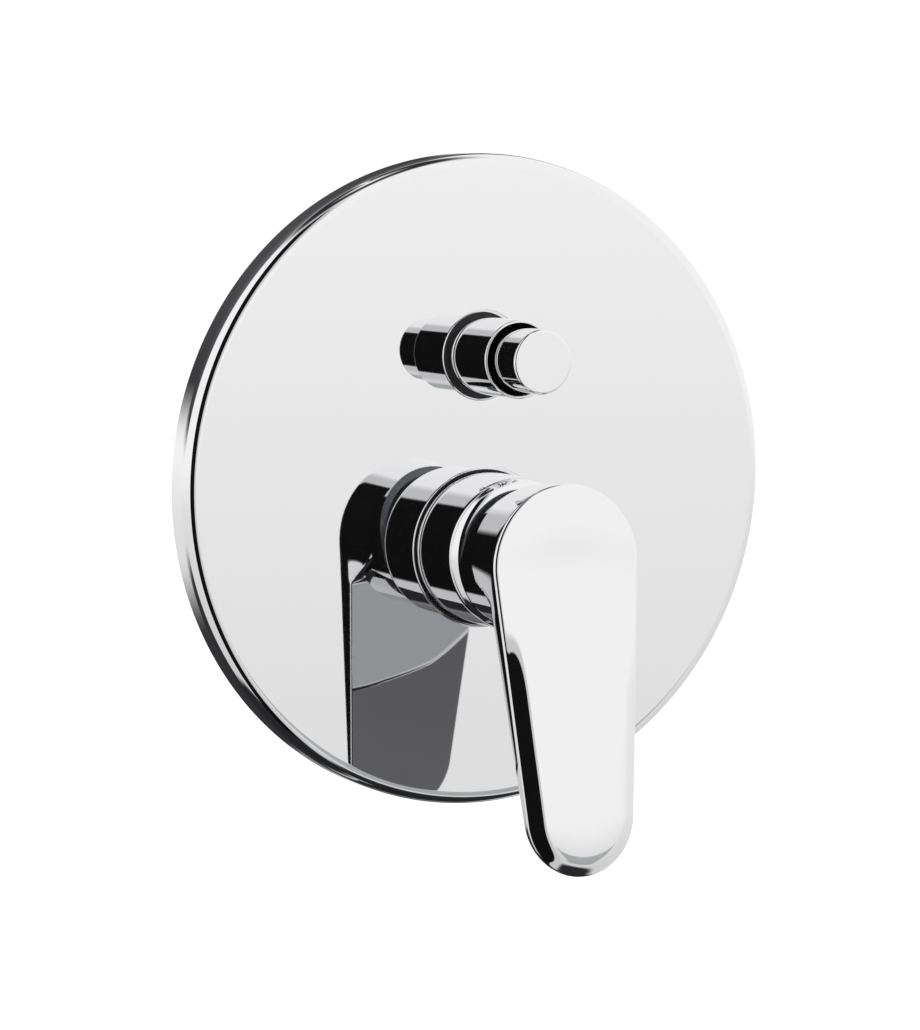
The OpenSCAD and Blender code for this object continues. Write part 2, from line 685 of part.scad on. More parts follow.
// Pull knob screwed on the spindle
module diverter_knob() color("gainsboro") on_axis(diverter_rise) difference() {
    rotate_extrude() rounded_front(0, knob_r, bonnet_end + 1, knob_front, knob_edge_r);
    rod_between(spindle_r, bonnet_end, spindle_end);
}

valve_body();
cartridge_base();
base_seals();
fixed_disc();
moving_disc();
disc_carrier();
cartridge_housing();
stem_guide();
pivot_pin();
cartridge_stem();
cartridge_nut();
neck_o_ring();
lever_sleeve();
sleeve_hole_seal();
cover_plate();
wall_gasket();
lever();
lever_grub_screw();
index_plug();
diverter_bonnet();
bonnet_washer();
diverter_spindle();
spindle_seals();
stem_o_ring();
tube_o_ring();
diverter_sleeve();
diverter_hole_seal();
diverter_knob();
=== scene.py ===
"""Concealed shower mixer: chrome cover plate, sleeves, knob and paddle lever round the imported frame."""

import json
from math import asin, atan, cos, pi, radians, sin, sqrt, tan

import bmesh
import bpy
import numpy as np
from mathutils import Matrix, Vector
from mathutils.bvhtree import BVHTree
from mathutils.geometry import tessellate_polygon
from mathutils.interpolate import poly_3d_calc


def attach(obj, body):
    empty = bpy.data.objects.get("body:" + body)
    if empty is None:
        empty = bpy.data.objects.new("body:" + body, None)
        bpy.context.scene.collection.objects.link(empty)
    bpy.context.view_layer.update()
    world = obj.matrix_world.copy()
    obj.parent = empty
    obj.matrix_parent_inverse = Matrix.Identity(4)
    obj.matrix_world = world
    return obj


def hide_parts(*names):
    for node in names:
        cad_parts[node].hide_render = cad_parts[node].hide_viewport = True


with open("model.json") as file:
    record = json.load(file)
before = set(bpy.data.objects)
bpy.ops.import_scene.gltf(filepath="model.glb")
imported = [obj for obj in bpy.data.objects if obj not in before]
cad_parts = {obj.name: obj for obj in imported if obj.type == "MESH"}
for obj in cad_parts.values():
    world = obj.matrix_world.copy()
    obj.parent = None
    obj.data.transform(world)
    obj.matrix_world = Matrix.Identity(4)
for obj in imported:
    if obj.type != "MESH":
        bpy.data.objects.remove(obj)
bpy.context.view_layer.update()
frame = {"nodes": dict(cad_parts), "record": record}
nodes = frame["nodes"]

MM = 0.001

# Sizes shared with the part's source, in millimetres; heights are distances out of the wall
FACE = 9.5
WALL_GAP = 0.5
PLATE_R = 90.0
PLATE_RISE = 18.3
PLATE_EDGE_R = 3.7
SHEET = 1.5
HOLE_EDGE_R = 1.1
SLEEVE_R = 21.0
SLEEVE_WALL = 1.0
SLEEVE_GAP = 0.35
SLEEVE_REAR = 2.5
SLEEVE_FRONT = FACE + 22
SLEEVE_EDGE_R = 3.5
SLEEVE_MOUTH_R = 15.0
TUBE_RISE = 53.0
TUBE_R = 10.7
TUBE_WALL = 0.85
TUBE_GAP = 1.0
TUBE_REAR = 5.8
TUBE_FRONT = FACE + 21
KNOB_R = 8.75
KNOB_REAR = 21.0
KNOB_FRONT = FACE + 33.9
KNOB_EDGE_R = 0.7
SPINDLE_R = 4.0
SPINDLE_END = KNOB_FRONT - 10.5
HUB_R = 19.9
HUB_REAR = SLEEVE_FRONT + 0.4
HUB_BORE_R = 18.0
HUB_BORE_END = FACE + 35
HUB_INSET = 2.5
BOSS_R = 9.0
BOSS_REAR = HUB_REAR + 2
STEM_SIDE = 8.0
STEM_END = FACE + 37
SCREW_OUT = FACE + 30
SCREW_R = 2.5
SCREW_PLAY = 0.4
PLUG_R = 3.5
PLUG_T = 1.3
PIVOT_OUT = 18.0
LIFT = 22.0
PIPE_DEPTH = 26.0
INLET_REACH = 52.0
TOP_REACH = 89.0
BOTTOM_REACH = 52.0

# The paddle's outline and face, as in the source
HEAD_R = 22.0
HEAD_DROP = 0.75
TIP_R = 16.4
PADDLE_REACH = 83.1
PADDLE_FRONT = FACE + 46.5
PADDLE_LEAN = 6.1
LEAN_BLEND = 5.0
HEAD_CROWN = 1.3
DOME_POWER = 3

# The paddle's edge and back, finer than in the source: a thin edge and a back with a lean of its own
EDGE_T = 1.6
BACK_LEAN = 9.5
EDGE_DRAFT = 7.0
FRONT_EDGE_W = 1.5
FRONT_EDGE_T = 0.9
SHANK_EDGE_W = 0.6
REAR_EDGE_R = 0.5
ROLL_H = 1.5
ROLL_W = 4.5
ROLL_START = 12.0
ROLL_RISE = 22.0
FLARE_LENGTH = 17.0
FLARE_CONE = 3.0
FLARE_SINK = 0.17
FLARE_FADE = 14.0

# Steps of the meshes: round a full turn, along the rounded edges and along the paddle
PLATE_TURNS = 288
SLEEVE_TURNS = 240
HUB_TURNS = 240
TUBE_TURNS = 192
SCREW_TURNS = 96
EDGE_STEPS = 24
INNER_STEPS = 8
HOLE_STEPS = 10
LIP_STEPS = 16
KNOB_STEPS = 12
SECTION_STEPS = 10
HEAD_STEPS = 60
SIDE_STEPS = 70
TIP_STEPS = 50


def linear(hex_colour):
    """sRGB hex colour as linear RGBA."""
    parts = [int(hex_colour[i:i + 2], 16) / 255 for i in (1, 3, 5)]
    return [c / 12.92 if c <= 0.04045 else ((c + 0.055) / 1.055) ** 2.4 for c in parts] + [1.0]


def add_object(name, mesh):
    piece = bpy.data.objects.new(name, mesh)
    bpy.context.scene.collection.objects.link(piece)
    return piece


# Materials

def add_node(tree, kind, settings=None, **inputs):
    """Adds a node with its settings; each input is a value or the output that feeds it."""
    node = tree.nodes.new(kind)
    for key, value in (settings or {}).items():
        setattr(node, key, value)
    for key, value in inputs.items():
        socket = node.inputs[key.replace("_", " ")]
        if isinstance(value, bpy.types.NodeSocket):
            tree.links.new(value, socket)
        else:
            socket.default_value = value
    return node


def new_material(name):
    material = bpy.data.materials.new(name)
    material.use_nodes = True
    tree = material.node_tree
    tree.nodes.clear()
    shader = add_node(tree, "ShaderNodeBsdfPrincipled")
    add_node(tree, "ShaderNodeOutputMaterial", Surface=shader.outputs[0])
    return material, tree, shader


def per(size_mm):
    """Texture scale that draws one cell of a pattern at its real size."""
    return 1 / (size_mm * MM)


def relief(tree, shader, height, depth_mm):
    """Bump of a real depth from a pattern's height."""
    bump = add_node(tree, "ShaderNodeBump", Height=height, Strength=1.0, Distance=depth_mm * MM)
    tree.links.new(bump.outputs[0], shader.inputs["Normal"])


def patchy(name, metallic, dark, light, patch_mm, roughness):
    """Start of a material whose colour and roughness wander in patches of a real size."""
    material, tree, shader = new_material(name)
    place = add_node(tree, "ShaderNodeTexCoord").outputs["Object"]
    patches = add_node(tree, "ShaderNodeTexNoise", Vector=place, Scale=per(patch_mm), Detail=4.0)
    colour = add_node(tree, "ShaderNodeMix", {"data_type": "RGBA"}, Factor=patches.outputs["Fac"])
    colour.inputs["A"].default_value = linear(dark)
    colour.inputs["B"].default_value = linear(light)
    haze = add_node(tree, "ShaderNodeMapRange", Value=patches.outputs["Fac"],
                    From_Min=0.3, From_Max=0.7, To_Min=roughness[0], To_Max=roughness[1])
    tree.links.new(colour.outputs["Result"], shader.inputs["Base Color"])
    tree.links.new(haze.outputs[0], shader.inputs["Roughness"])
    shader.inputs["Metallic"].default_value = metallic
    return material, tree, shader, place


def chrome_plate(name):
    """Bright chrome electroplated on polished brass: a clear mirror with the faintest haze."""
    material, tree, shader = new_material(name)
    place = add_node(tree, "ShaderNodeTexCoord").outputs["Object"]
    haze = add_node(tree, "ShaderNodeTexNoise", Vector=place, Scale=per(3.85), Detail=3.0)
    tone = add_node(tree, "ShaderNodeMapRange", Value=haze.outputs["Fac"], To_Min=0.012, To_Max=0.03)
    shader.inputs["Metallic"].default_value = 1.0
    shader.inputs["Base Color"].default_value = linear("#F0F0F1")
    tree.links.new(tone.outputs[0], shader.inputs["Roughness"])
    return material


def flash_chrome_plate(name):
    """Thin plating on unpolished brass, as inside a hub or a sleeve: dull and cloudy, its dark grey partly
    the duller plating and partly painted shade for the hollows and backs.
    """
    material, tree, shader, place = patchy(
        name, 1.0, "#66686B", "#85878B", patch_mm=3.0, roughness=(0.34, 0.5))
    grit = add_node(tree, "ShaderNodeTexNoise", Vector=place, Scale=per(0.25), Detail=3.0)
    relief(tree, shader, grit.outputs["Fac"], depth_mm=0.012)
    return material


def sand_cast_brass(name):
    """Brass cast in sand and pickled: a dull yellow skin with the sand's grain and shallow pits."""
    material, tree, shader, place = patchy(
        name, 1.0, "#AE9158", "#DCC48E", patch_mm=6.0, roughness=(0.4, 0.58))
    sand = add_node(tree, "ShaderNodeTexNoise", Vector=place, Scale=per(0.7), Detail=5.0, Roughness=0.65)
    pits = add_node(tree, "ShaderNodeTexVoronoi", {"feature": "SMOOTH_F1"}, Vector=place, Scale=per(2.2))
    both = add_node(tree, "ShaderNodeMath", {"operation": "MULTIPLY_ADD"})
    tree.links.new(pits.outputs["Distance"], both.inputs[0])
    both.inputs[1].default_value = 0.4
    tree.links.new(sand.outputs["Fac"], both.inputs[2])
    relief(tree, shader, both.outputs[0], depth_mm=0.14)
    return material


def lathe_turned_brass(name):
    """Free-cutting brass off the lathe: bright yellow with feed marks, drawn at 0.3 mm to show."""
    material, tree, shader, place = patchy(
        name, 1.0, "#C9A662", "#E4C486", patch_mm=5.0, roughness=(0.16, 0.3))
    bands_at_scale_one = 20 / (2 * pi)
    feed = add_node(tree, "ShaderNodeTexWave", {"bands_direction": "Y"}, Vector=place,
                    Scale=per(0.3) / bands_at_scale_one, Distortion=0.3)
    relief(tree, shader, feed.outputs["Fac"], depth_mm=0.01)
    return material


def ground_steel(name):
    """Stainless steel, ground across its length: cool grey with fine scratches one way."""
    material, tree, shader, place = patchy(
        name, 1.0, "#A2A4A7", "#C6C8CA", patch_mm=4.0, roughness=(0.22, 0.36))
    stretched = add_node(tree, "ShaderNodeMapping", Vector=place, Scale=(per(0.15), per(0.15), per(4)))
    scratches = add_node(tree, "ShaderNodeTexNoise", Vector=stretched.outputs[0], Scale=1.0, Detail=3.0)
    relief(tree, shader, scratches.outputs["Fac"], depth_mm=0.008)
    return material


def nitrile_rubber(name):
    """Moulded nitrile rubber: black with a soft grey bloom and a satin skin."""
    material, tree, shader, place = patchy(
        name, 0.0, "#141415", "#2A2A2B", patch_mm=2.5, roughness=(0.42, 0.62))
    skin = add_node(tree, "ShaderNodeTexNoise", Vector=place, Scale=per(0.2), Detail=2.0)
    relief(tree, shader, skin.outputs["Fac"], depth_mm=0.015)
    return material


def closed_cell_foam(name):
    """Polyethylene foam cut from sheet: dark, matt, with open half cells of about 0.6 mm."""
    material, tree, shader, place = patchy(
        name, 0.0, "#1E1F21", "#3A3C3F", patch_mm=1.5, roughness=(0.85, 0.95))
    cells = add_node(tree, "ShaderNodeTexVoronoi", {"feature": "DISTANCE_TO_EDGE"}, Vector=place,
                     Scale=per(0.6))
    relief(tree, shader, cells.outputs["Distance"], depth_mm=0.25)
    return material


def moulded_acetal(name):
    """White acetal, moulded: slightly translucent white with a fine spark-eroded grain."""
    material, tree, shader, place = patchy(
        name, 0.0, "#DDDCD6", "#EEEDE8", patch_mm=5.0, roughness=(0.34, 0.44))
    grain = add_node(tree, "ShaderNodeTexNoise", Vector=place, Scale=per(0.18), Detail=2.0)
    relief(tree, shader, grain.outputs["Fac"], depth_mm=0.012)
    shader.inputs["Subsurface Weight"].default_value = 0.1
    shader.inputs["Subsurface Radius"].default_value = (1.5 * MM, 1.4 * MM, 1.2 * MM)
    return material


def glass_filled_nylon(name):
    """Glass-filled nylon, moulded: grey with pale flow streaks where the fibres lie in the surface."""
    material, tree, shader, place = patchy(
        name, 0.0, "#7C7F84", "#999CA1", patch_mm=3.0, roughness=(0.4, 0.56))
    flow = add_node(tree, "ShaderNodeMapping", Vector=place, Scale=(per(0.3), per(2.5), per(0.3)))
    streaks = add_node(tree, "ShaderNodeTexNoise", Vector=flow.outputs[0], Scale=1.0, Detail=4.0)
    relief(tree, shader, streaks.outputs["Fac"], depth_mm=0.02)
    return material


def lapped_alumina(name):
    """Alumina ceramic, fired and lapped flat: ivory white with a silky gloss and fine pores."""
    material, tree, shader, place = patchy(
        name, 0.0, "#E2DED3", "#F1EEE6", patch_mm=2.0, roughness=(0.1, 0.2))
    pores = add_node(tree, "ShaderNodeTexVoronoi", Vector=place, Scale=per(0.35))
    shallow = add_node(tree, "ShaderNodeMapRange", Value=pores.outputs["Distance"], From_Max=0.25)
    relief(tree, shader, shallow.outputs[0], depth_mm=0.004)
    shader.inputs["IOR"].default_value = 1.76
    return material


def vulcanised_fibre(name):
    """Vulcanised fibre, punched from sheet: red-brown paper fibres pressed in the plane of the sheet."""
    material, tree, shader, place = patchy(
        name, 0.0, "#6E3324", "#9A5540", patch_mm=1.2, roughness=(0.65, 0.85))
    sheet = add_node(tree, "ShaderNodeMapping", Vector=place, Scale=(per(0.8), per(0.12), per(0.8)))
    fibres = add_node(tree, "ShaderNodeTexNoise", Vector=sheet.outputs[0], Scale=1.0, Detail=5.0,
                      Distortion=1.2)
    relief(tree, shader, fibres.outputs["Fac"], depth_mm=0.05)
    return material


def index_enamel(name):
    """Moulded plug in two colours, red on the hot side and blue on the cold, under a clear gloss."""
    material, tree, shader = new_material(name)
    place = add_node(tree, "ShaderNodeTexCoord").outputs["Object"]
    across = add_node(tree, "ShaderNodeSeparateXYZ", Vector=place).outputs["X"]
    border = 0.1 * MM
    side = add_node(tree, "ShaderNodeMapRange", Value=across, From_Min=-border, From_Max=border)
    colour = add_node(tree, "ShaderNodeMix", {"data_type": "RGBA"}, Factor=side.outputs[0])
    colour.inputs["A"].default_value = linear("#C4141C")
    colour.inputs["B"].default_value = linear("#1450A8")
    tree.links.new(colour.outputs["Result"], shader.inputs["Base Color"])
    orange_peel = add_node(tree, "ShaderNodeTexNoise", Vector=place, Scale=per(0.5), Detail=1.0)
    relief(tree, shader, orange_peel.outputs["Fac"], depth_mm=0.008)
    shader.inputs["Roughness"].default_value = 0.18
    shader.inputs["Coat Weight"].default_value = 0.4
    return material


chrome = chrome_plate("chrome_plate")
# The dull chrome's dark grey is partly painted shade for the hollows and backs of the chrome pieces
flash_chrome = flash_chrome_plate("flash_chrome")
SLOT_MATERIALS = {
    "chrome": chrome,
    "cast_brass": sand_cast_brass("sand_cast_brass"),
    "turned_brass": lathe_turned_brass("turned_brass"),
    "steel": ground_steel("ground_steel"),
    "seal_rubber": nitrile_rubber("nitrile_rubber"),
    "gasket_foam": closed_cell_foam("closed_cell_foam"),
    "white_plastic": moulded_acetal("moulded_acetal"),
    "grey_plastic": glass_filled_nylon("glass_filled_nylon"),
    "ceramic": lapped_alumina("lapped_alumina"),
    "fibre": vulcanised_fibre("vulcanised_fibre"),
    "index_colours": index_enamel("index_enamel"),
}
node_slot = {row["node"]: row["material_slot"] for row in frame["record"]["subparts"]}
for name, piece in nodes.items():
    for slot in piece.material_slots:
        slot.material = SLOT_MATERIALS[node_slot[name]]

# Finishes of a chrome piece: polished where it shows; dull where only thin plating reaches, and darkened
# there with painted shade
POLISHED = 0
DULL = 1


def coat(mesh, finishes):
    """Shades a chrome piece smoothly and gives each face its finish; the dull finish carries painted shade.
    """
    mesh.polygons.foreach_set("use_smooth", [True] * len(mesh.polygons))
    mesh.materials.clear()
    for material in (chrome, flash_chrome):
        mesh.materials.append(material)
    mesh.polygons.foreach_set("material_index", finishes)


# Surfaces of revolution with the true normal at every corner

def straight(start, end):
    """Points and normals of a straight piece of profile, walked with the outside on its left."""
    along = np.subtract(end, start)
    normal = np.array([-along[1], along[0]]) / np.hypot(*along)
    return [(np.array(p, float), normal) for p in (start, end)]


def bend(centre, radius, start, end, steps, outward=1):
    """Points and normals of an arc of profile between two angles; outward is -1 where it is hollow."""
    rows = []
    for i in range(steps + 1):
        angle = radians(start + (end - start) * i / steps)
        direction = np.array([cos(angle), sin(angle)])
        rows.append((np.array(centre) + radius * direction, outward * direction))
    return rows


def around(p, angle, rise):
    """Point of a profile turned about its axis: x right, z up, out of the wall toward -Y."""
    return (p[0] * sin(angle), -p[1], rise + p[0] * cos(angle))


def around_dir(n, angle):
    return (n[0] * sin(angle), -n[1], n[0] * cos(angle))


def ring(radius, height, rise, turns):
    return [around((radius, height), 2 * pi * i / turns, rise) for i in range(turns)]


class Surface:
    """Faces gathered with their own corner normals and finishes, then made one mesh object."""

    def __init__(self):
        self.points, self.faces, self.normals, self.index = [], [], [], {}
        self.finishes = []
        self.finish = POLISHED

    def point(self, p):
        """Number of a point; points that round to the same hundred-thousandth of a millimetre are one."""
        key = tuple(round(c, 5) for c in p)
        if key not in self.index:
            self.index[key] = len(self.points)
            self.points.append(np.array(p, float) * MM)
        return self.index[key]

    def face(self, corners, normals):
        """One face, wound to agree with its normals; corners that fall together count once."""
        ids, kept = [], []
        for corner, normal in zip(corners, normals):
            i = self.point(corner)
            if i not in ids:
                ids.append(i)
                kept.append(normal)
        if len(ids) < 3:
            return
        p = [self.points[i] for i in ids]
        turn = sum(np.cross(p[k] - p[0], p[k + 1] - p[0]) for k in range(1, len(p) - 1))
        if np.dot(turn, np.sum(kept, axis=0)) < 0:
            ids, kept = ids[::-1], kept[::-1]
        self.faces.append(ids)
        self.normals.extend(kept)
        self.finishes.append(self.finish)

    def revolve(self, pieces, rise, turns):
        """Turns profile pieces of (radius, height) about the axis at the given rise."""
        for piece in pieces:
            for (p0, n0), (p1, n1) in zip(piece, piece[1:]):
                for i in range(turns):
                    a, b = 2 * pi * i / turns, 2 * pi * ((i + 1) % turns) / turns
                    self.face(
                        [around(p0, a, rise), around(p0, b, rise), around(p1, b, rise), around(p1, a, rise)],
                        [around_dir(n0, a), around_dir(n0, b), around_dir(n1, b), around_dir(n1, a)],
                    )

    def flat_fill(self, loops, outward):
        """Flat face between an outer loop and its holes; outward is 1 toward the user."""
        flat = [[Vector((p[0], p[2], 0)) for p in loop] for loop in loops]
        corners = [p for loop in loops for p in loop]
        for triangle in tessellate_polygon(flat):
            self.face([corners[i] for i in triangle], [np.array([0.0, -outward, 0.0])] * 3)

    def build(self, name):
        mesh = bpy.data.meshes.new(name)
        mesh.from_pydata([tuple(p) for p in self.points], [], self.faces)
        coat(mesh, self.finishes)
        mesh.normals_split_custom_set([tuple(float(c) for c in n) for n in self.normals])
        return add_object(name, mesh)


# Cover plate, sleeves and knob

def cover_plate():
    """Pressed plate: flat face, rounded edge and turned-back rim, with two holes."""
    s = Surface()
    inner_r = PLATE_R - SHEET
    back = FACE - SHEET
    centre = (PLATE_R - PLATE_EDGE_R, FACE - PLATE_EDGE_R)
    s.revolve([
        bend(centre, PLATE_EDGE_R, 90, 0, EDGE_STEPS),
        straight((PLATE_R, centre[1]), (PLATE_R, WALL_GAP)),
        straight((PLATE_R, WALL_GAP), (inner_r, WALL_GAP)),
    ], PLATE_RISE, PLATE_TURNS)
    s.finish = DULL
    s.revolve([
        straight((inner_r, WALL_GAP), (inner_r, centre[1])),
        bend(centre, PLATE_EDGE_R - SHEET, 0, 90, INNER_STEPS, -1),
    ], PLATE_RISE, PLATE_TURNS)
    s.finish = POLISHED
    front_loops = [ring(centre[0], FACE, PLATE_RISE, PLATE_TURNS)]
    back_loops = [ring(centre[0], back, PLATE_RISE, PLATE_TURNS)]
    for radius, rise in ((SLEEVE_R + SLEEVE_GAP, 0.0), (TUBE_R + TUBE_GAP, TUBE_RISE)):
        edge = (radius + HOLE_EDGE_R, FACE - HOLE_EDGE_R)
        s.revolve([
            straight((radius, back), (radius, edge[1])),
            bend(edge, HOLE_EDGE_R, 180, 90, HOLE_STEPS),
        ], rise, TUBE_TURNS)
        front_loops.append(ring(edge[0], FACE, rise, TUBE_TURNS))
        back_loops.append(ring(radius, back, rise, TUBE_TURNS))
    s.flat_fill(front_loops, 1)
    s.finish = DULL
    s.flat_fill(back_loops, -1)
    return s.build("plate_shell")


def lever_sleeve():
    """Sleeve over the cartridge neck, with a rounded front edge and a turned-in mouth."""
    s = Surface()
    inner_r = SLEEVE_R - SLEEVE_WALL
    back = SLEEVE_FRONT - SLEEVE_WALL
    centre = (SLEEVE_R - SLEEVE_EDGE_R, SLEEVE_FRONT - SLEEVE_EDGE_R)
    s.revolve([
        straight((SLEEVE_MOUTH_R, SLEEVE_FRONT), (centre[0], SLEEVE_FRONT)),
        bend(centre, SLEEVE_EDGE_R, 90, 0, EDGE_STEPS),
        straight((SLEEVE_R, centre[1]), (SLEEVE_R, SLEEVE_REAR)),
    ], 0.0, SLEEVE_TURNS)
    s.finish = DULL
    s.revolve([
        straight((SLEEVE_R, SLEEVE_REAR), (inner_r, SLEEVE_REAR)),
        straight((inner_r, SLEEVE_REAR), (inner_r, centre[1])),
        bend(centre, SLEEVE_EDGE_R - SLEEVE_WALL, 0, 90, INNER_STEPS, -1),
        straight((centre[0], back), (SLEEVE_MOUTH_R, back)),
        straight((SLEEVE_MOUTH_R, back), (SLEEVE_MOUTH_R, SLEEVE_FRONT)),
    ], 0.0, SLEEVE_TURNS)
    return s.build("sleeve_shell")


def diverter_sleeve():
    """Thin sleeve with a rounded lip."""
    s = Surface()
    bore_r = TUBE_R - TUBE_WALL
    lip_r = TUBE_WALL / 2
    lip_out = TUBE_FRONT - lip_r
    s.revolve([
        bend((bore_r + lip_r, lip_out), lip_r, 180, 0, LIP_STEPS),
        straight((TUBE_R, lip_out), (TUBE_R, TUBE_REAR)),
    ], TUBE_RISE, TUBE_TURNS)
    s.finish = DULL
    s.revolve([
        straight((TUBE_R, TUBE_REAR), (bore_r, TUBE_REAR)),
        straight((bore_r, TUBE_REAR), (bore_r, lip_out)),
    ], TUBE_RISE, TUBE_TURNS)
    return s.build("diverter_shell")


def diverter_knob():
    """Pull knob with a softened edge, bored for the spindle."""
    s = Surface()
    centre = (KNOB_R - KNOB_EDGE_R, KNOB_FRONT - KNOB_EDGE_R)
    s.revolve([
        straight((0, KNOB_FRONT), (centre[0], KNOB_FRONT)),
        bend(centre, KNOB_EDGE_R, 90, 0, KNOB_STEPS),
        straight((KNOB_R, centre[1]), (KNOB_R, KNOB_REAR)),
    ], TUBE_RISE, TUBE_TURNS)
    s.finish = DULL
    s.revolve([
        straight((KNOB_R, KNOB_REAR), (SPINDLE_R, KNOB_REAR)),
        straight((SPINDLE_R, KNOB_REAR), (SPINDLE_R, SPINDLE_END)),
        straight((SPINDLE_R, SPINDLE_END), (0, SPINDLE_END)),
    ], TUBE_RISE, TUBE_TURNS)
    return s.build("pull_knob")


# The lever's paddle: a loft of one section rule along the outline

# Share of the width left free at the middle of the face, for the strips that close it
FACE_MIDDLE = 0.002
# Where the last points of the back lie, as shares of the way from the edge to the middle
BACK_POINTS = (0.6, 0.998)


def smooth_step(t):
    t = max(0.0, min(1.0, t))
    return t * t * (3 - 2 * t)


def shank_share(z):
    """0 on the head, 1 where the shank has its full form."""
    return smooth_step((-z - ROLL_START) / ROLL_RISE)


def edge_out(z):
    """Distance from the wall of the head's front edge and of the plane that goes on from it."""
    below = (sqrt(z * z + LEAN_BLEND ** 2) - z - LEAN_BLEND) / 2
    return PADDLE_FRONT + tan(radians(PADDLE_LEAN)) * below


def roll_at(z):
    return ROLL_H * shank_share(z)


def back_gain(z):
    """Growth of the paddle's thickness from its tip, because the back leans more than the front."""
    return (tan(radians(BACK_LEAN)) - tan(radians(PADDLE_LEAN))) * (z + PADDLE_REACH)


def face_rise(z, half_w, inward):
    """Rise of the face over its edge: a soft dome, and the rolled side on the shank."""
    dome = HEAD_CROWN * (1 - (1 - inward / half_w) ** DOME_POWER)
    v = max(0.0, 1 - inward / ROLL_W)
    return dome + roll_at(z) * (1 - v * v * (2 - v))


def front_rows(z, half_w):
    """Face and rounded edge, as rows [inward distance, rise over the edge, share of the back's lean]."""
    edge_slope = atan(HEAD_CROWN * DOME_POWER / half_w + roll_at(z) / ROLL_W)
    front_w = FRONT_EDGE_W + (SHANK_EDGE_W - FRONT_EDGE_W) * shank_share(z)
    start_angle = atan(tan(edge_slope) * front_w / FRONT_EDGE_T)
    end_angle = pi / 2 + atan(tan(radians(EDGE_DRAFT)) * FRONT_EDGE_T / front_w)
    start = front_w * (1 - sin(start_angle))
    width = half_w - start
    rows = []
    for i in range(SECTION_STEPS):
        t = i / SECTION_STEPS
        inward = width - (width - ROLL_W) * t - FACE_MIDDLE * width * (1 - t)
        rows.append([start + inward, face_rise(z, width, inward), 0])
    for i in range(SECTION_STEPS):
        inward = ROLL_W * (1 - i / SECTION_STEPS)
        rows.append([start + inward, face_rise(z, width, inward), 0])
    for i in range(SECTION_STEPS + 1):
        a = start_angle + (end_angle - start_angle) * i / SECTION_STEPS
        rows.append([front_w * (1 - sin(a)), FRONT_EDGE_T * (cos(a) - cos(start_angle)), 0])
    return rows


def shank_rows(z, half_w, end_in, end_rise):
    """Nearly upright wall, small rear edge and flat back of the shank."""
    draft = radians(EDGE_DRAFT)
    drop = end_rise + EDGE_T + back_gain(z) - REAR_EDGE_R * (1 - sin(draft))
    mid = end_in + drop * tan(draft) + REAR_EDGE_R * cos(draft)
    rows = []
    for i in range(SECTION_STEPS + 1):
        a = pi / 2 + draft + (pi / 2 - draft) * i / SECTION_STEPS
        rows.append([mid - REAR_EDGE_R * sin(a), REAR_EDGE_R * (1 + cos(a)) - EDGE_T, 1])
    return rows + [[half_w * share, -EDGE_T, 1] for share in BACK_POINTS]


def head_rows(z, spine, half_w, end_in, end_rise):
    """Cone from the head's edge down to the hub, which ends inside the hub."""
    up = (z - spine) / half_w
    hub_in = FLARE_SINK + half_w + spine * up - sqrt(max(0.0, HUB_R ** 2 - spine ** 2 * (1 - up * up)))
    slope = (hub_in - end_in) / FLARE_LENGTH
    rows = []
    for i in range(1, SECTION_STEPS + 1):
        depth = FLARE_LENGTH * i / SECTION_STEPS
        rows.append([end_in + slope * depth, end_rise - depth, 0])
    depth = FLARE_LENGTH + FLARE_CONE
    inner = [end_in + slope * depth] + [half_w * share for share in BACK_POINTS]
    return rows + [[inward, end_rise - depth, 0] for inward in inner]


def paddle_section(z, spine, half_w):
    """Rows from the face's middle round to the back's; the head's form passes into the shank's."""
    rows = front_rows(z, half_w)
    end_in, end_rise = rows[-1][:2]
    shank = shank_rows(z, half_w, end_in, end_rise)
    head = head_rows(z, spine, half_w, end_in, end_rise)
    share = smooth_step(1 + z / FLARE_FADE)
    for p, q in zip(shank, head):
        rows.append([(1 - share) * a + share * b for a, b in zip(p, q)])
    return rows


def paddle_column(place, side):
    """Points of the section at one place of the outline, in metres."""
    x, z, spine = place
    half_w = sqrt(x * x + (z - spine) ** 2)
    column = []
    for inward, rise, back in paddle_section(z, spine, half_w):
        u = 1 - inward / half_w
        height = spine + (z - spine) * u
        out = edge_out(height) + rise - back * back_gain(height)
        column.append((side * x * u * MM, -out * MM, height * MM))
    return column


def paddle_outline():
    """Half of the outline from the top of the head to the tip: x, z and the height of its spine point."""
    tip_z = TIP_R - PADDLE_REACH
    taper = asin((HEAD_R - TIP_R) / (-tip_z - HEAD_DROP))
    half = []
    for i in range(HEAD_STEPS):
        a = pi / 2 + (pi / 2 + taper) * i / HEAD_STEPS
        half.append((HEAD_R * cos(a), -HEAD_DROP + HEAD_R * sin(a), -HEAD_DROP))
    ends = []
    for r, mid in ((HEAD_R, -HEAD_DROP), (TIP_R, tip_z)):
        ends.append((r * cos(pi + taper), mid + r * sin(pi + taper), mid))
    for i in range(SIDE_STEPS):
        t = i / SIDE_STEPS
        half.append(tuple(p + t * (q - p) for p, q in zip(*ends)))
    for i in range(TIP_STEPS + 1):
        a = pi + taper + (pi / 2 - taper) * i / TIP_STEPS
        half.append((TIP_R * cos(a), tip_z + TIP_R * sin(a), tip_z))
    return half


def wall_faces(count, steps):
    """Faces between each column and the next, all round the outline."""
    faces = []
    for i in range(count):
        j = (i + 1) % count
        for k in range(steps - 1):
            faces.append((i * steps + k, i * steps + k + 1, j * steps + k + 1, j * steps + k))
    return faces


def strip_faces(count, steps, half_count):
    """Strips across the middle of the face and of the back, from one half's columns to the other's."""
    faces = []
    for k in (0, steps - 1):
        for i in range(half_count - 1):
            ids = []
            for m in (i, i + 1, (count - i - 1) % count, (count - i) % count):
                if m * steps + k not in ids:
                    ids.append(m * steps + k)
            if len(ids) > 2:
                faces.append(tuple(ids))
    return faces


